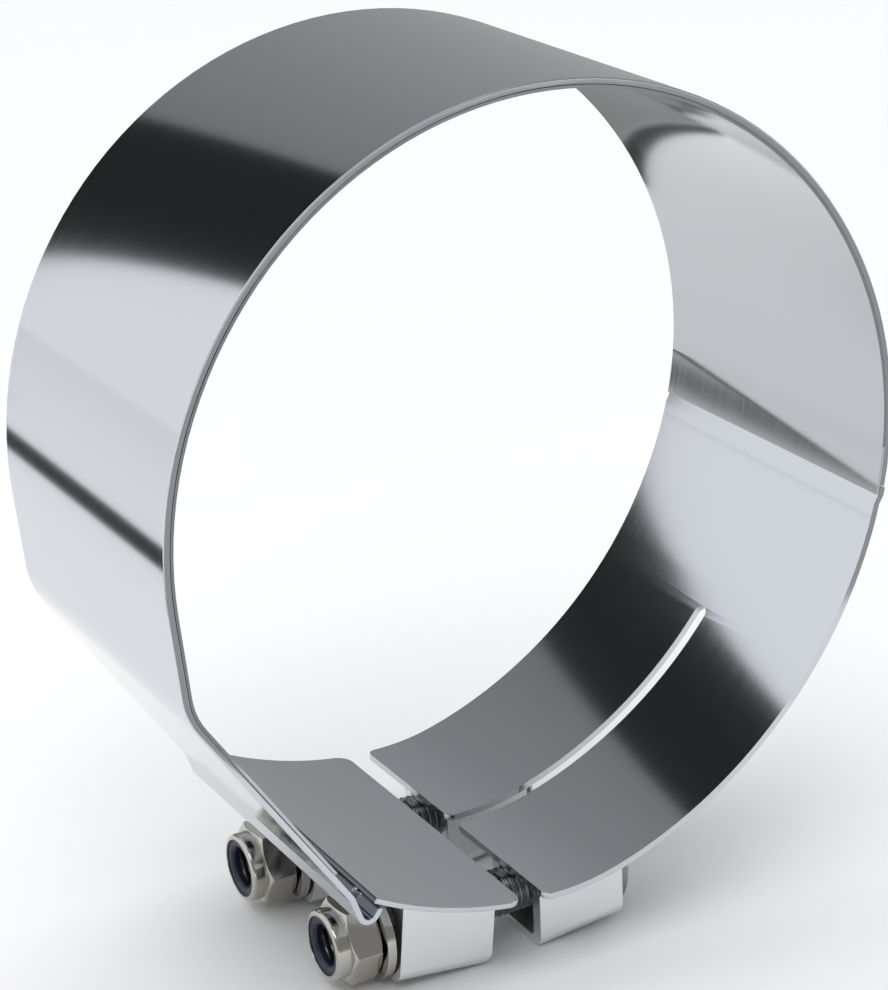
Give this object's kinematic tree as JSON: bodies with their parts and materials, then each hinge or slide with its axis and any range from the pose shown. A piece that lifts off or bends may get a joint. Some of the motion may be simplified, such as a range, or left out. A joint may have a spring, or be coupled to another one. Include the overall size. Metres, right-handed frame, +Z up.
{
  "type": "exhaust pipe clamp",
  "caption": "Wide sheet-steel band clamp for joining exhaust pipe, with a hooked flange, a slotted tongue and bridge plate, drawn together by dome-headed bolts and nylon lock nuts.",
  "frame": {"origin": "on the bore axis, at the middle of the band's width", "axes": "+Y along the bore, +X along the bolts from the nuts to the heads, +Z up, away from the bolts"},
  "size_m": [0.1302, 0.0636, 0.149],
  "materials": {
    "stainless": "polished stainless sheet with a fine grain",
    "satin_steel": "satin",
    "bolt_steel": "plated, smooth",
    "nut_steel": "bright warm plating",
    "nylon": "dark blue nylon"
  },
  "bodies": {
    "clamp": {"outer_band": "stainless", "inner_liner": "stainless", "tongue_strap": "stainless", "bridge_plate": "stainless", "keeper_bar": "stainless", "bridge_channel_front": "satin_steel", "end_channel_front": "satin_steel", "clamp_bolt_front": "bolt_steel", "bridge_channel_back": "satin_steel", "end_channel_back": "satin_steel", "clamp_bolt_back": "bolt_steel"},
    "washer_front": {"flat_washer_front": "nut_steel"},
    "nut_front": {"lock_nut_front": "nut_steel", "nylon_insert_front": "nylon"},
    "washer_back": {"flat_washer_back": "nut_steel"},
    "nut_back": {"lock_nut_back": "nut_steel", "nylon_insert_back": "nylon"}
  },
  "joints": [
    {"name": "nut_travel_front", "type": "slide", "parent": "clamp", "child": "washer_front", "axis": [1, 0, 0], "range_m": [-0.004, 0]},
    {"name": "nut_turn_front", "type": "hinge", "parent": "washer_front", "child": "nut_front", "pos_m": [-0.0288, -0.01588, -0.0756], "axis": [1, 0, 0], "range_deg": [-1155, 0]},
    {"name": "nut_travel_back", "type": "slide", "parent": "clamp", "child": "washer_back", "axis": [1, 0, 0], "range_m": [-0.004, 0]},
    {"name": "nut_turn_back", "type": "hinge", "parent": "washer_back", "child": "nut_back", "pos_m": [-0.0288, 0.01588, -0.0756], "axis": [1, 0, 0], "range_deg": [-1155, 0]}
  ],
  "couplings": [
    {"joint": "nut_turn_front", "follows": "nut_travel_front", "rad_per_m": 5026.5},
    {"joint": "nut_turn_back", "follows": "nut_travel_back", "rad_per_m": 5026.5}
  ]
}
